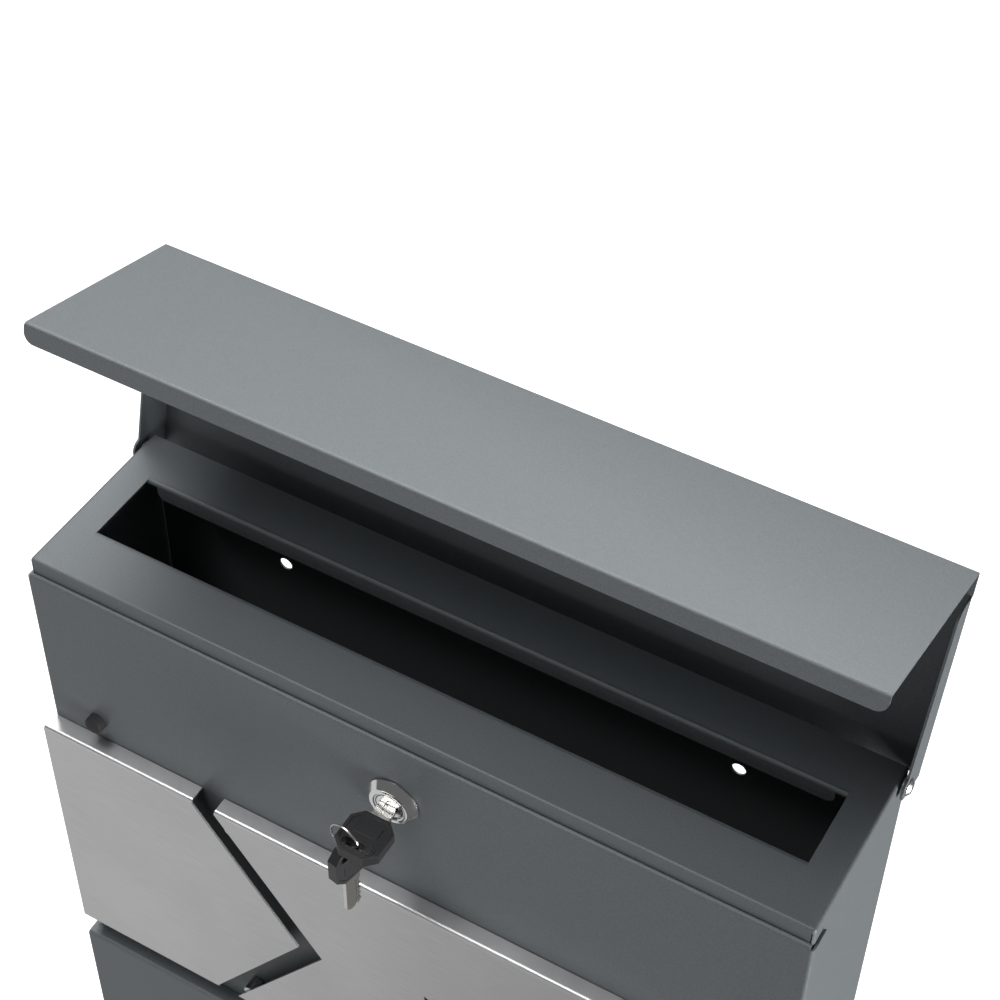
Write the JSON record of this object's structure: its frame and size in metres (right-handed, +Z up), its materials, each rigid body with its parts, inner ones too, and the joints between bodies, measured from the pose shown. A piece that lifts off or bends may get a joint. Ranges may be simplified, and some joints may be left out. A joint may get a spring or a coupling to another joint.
{
  "type": "wall mounted mailbox",
  "caption": "Sheet-metal wall mailbox with top letter slot, tilting lid, bottom-hinged front door with cladding plates, cam lock and keys.",
  "frame": {"origin": "centre of the housing's rear face, which lies against the wall", "axes": "+Y into the wall, so the front faces -Y; +Z up; +X to the right seen from the front"},
  "size_m": [0.3782, 0.1567, 0.4743],
  "materials": {
    "anthracite_powder_coat": "fine-textured matt powder coat",
    "brushed_stainless": "brushed along its length",
    "chrome": "polished",
    "nickel_silver": "satin nickel",
    "zinc_plated_steel": "bright zinc plate",
    "black_rubber": "matt",
    "black_plastic": "fine moulded texture"
  },
  "bodies": {
    "housing": {"housing_wrap": "anthracite_powder_coat", "back_plate": "anthracite_powder_coat", "lid_rivet_left": "zinc_plated_steel", "lid_rivet_right": "zinc_plated_steel", "lid_washer_left": "zinc_plated_steel", "lid_washer_right": "zinc_plated_steel", "door_rivet_left": "zinc_plated_steel", "door_rivet_right": "zinc_plated_steel"},
    "lid": {"lid_panel": "anthracite_powder_coat"},
    "door": {"door_panel": "anthracite_powder_coat", "left_plate": "brushed_stainless", "main_plate": "brushed_stainless", "lower_panel": "anthracite_powder_coat", "plate_stud_1": "zinc_plated_steel", "plate_stud_2": "zinc_plated_steel", "plate_stud_3": "zinc_plated_steel", "plate_stud_4": "zinc_plated_steel", "plate_stud_5": "zinc_plated_steel", "plate_stud_6": "zinc_plated_steel", "plate_stud_7": "zinc_plated_steel", "plate_stud_8": "zinc_plated_steel", "plate_stud_9": "zinc_plated_steel", "bumper_left": "black_rubber", "bumper_right": "black_rubber", "lock_barrel": "chrome", "lock_nut": "zinc_plated_steel"},
    "lock_plug": {"lock_plug": "chrome", "lock_cam": "zinc_plated_steel", "cam_screw": "zinc_plated_steel"},
    "key": {"key_blade": "nickel_silver", "key_head": "black_plastic", "key_ring": "zinc_plated_steel"},
    "spare_key": {"spare_key_head": "black_plastic", "spare_key_blade": "nickel_silver"}
  },
  "joints": [
    {"name": "lid_hinge", "type": "hinge", "parent": "housing", "child": "lid", "pos_m": [0, -0.0045, 0.174], "axis": [1, 0, 0], "range_deg": [0, 105]},
    {"name": "door_hinge", "type": "hinge", "parent": "housing", "child": "door", "pos_m": [0, -0.081, -0.176], "axis": [1, 0, 0], "range_deg": [0, 110]},
    {"name": "lock_turn", "type": "hinge", "parent": "door", "child": "lock_plug", "pos_m": [0, -0.0917, 0.1375], "axis": [0, -1, 0], "range_deg": [0, 90]},
    {"name": "key_withdraw", "type": "slide", "parent": "lock_plug", "child": "key", "axis": [0, -1, 0], "range_m": [0, 0.121]},
    {"name": "spare_key_swing", "type": "hinge", "parent": "key", "child": "spare_key", "pos_m": [-0.00666, -0.11831, 0.129], "axis": [0.9826, -0.1857, 0], "range_deg": [-8, 8]}
  ],
  "couplings": [
    {"joint": "key_withdraw", "follows": "lid_hinge", "m_per_rad": 0.0654}
  ]
}
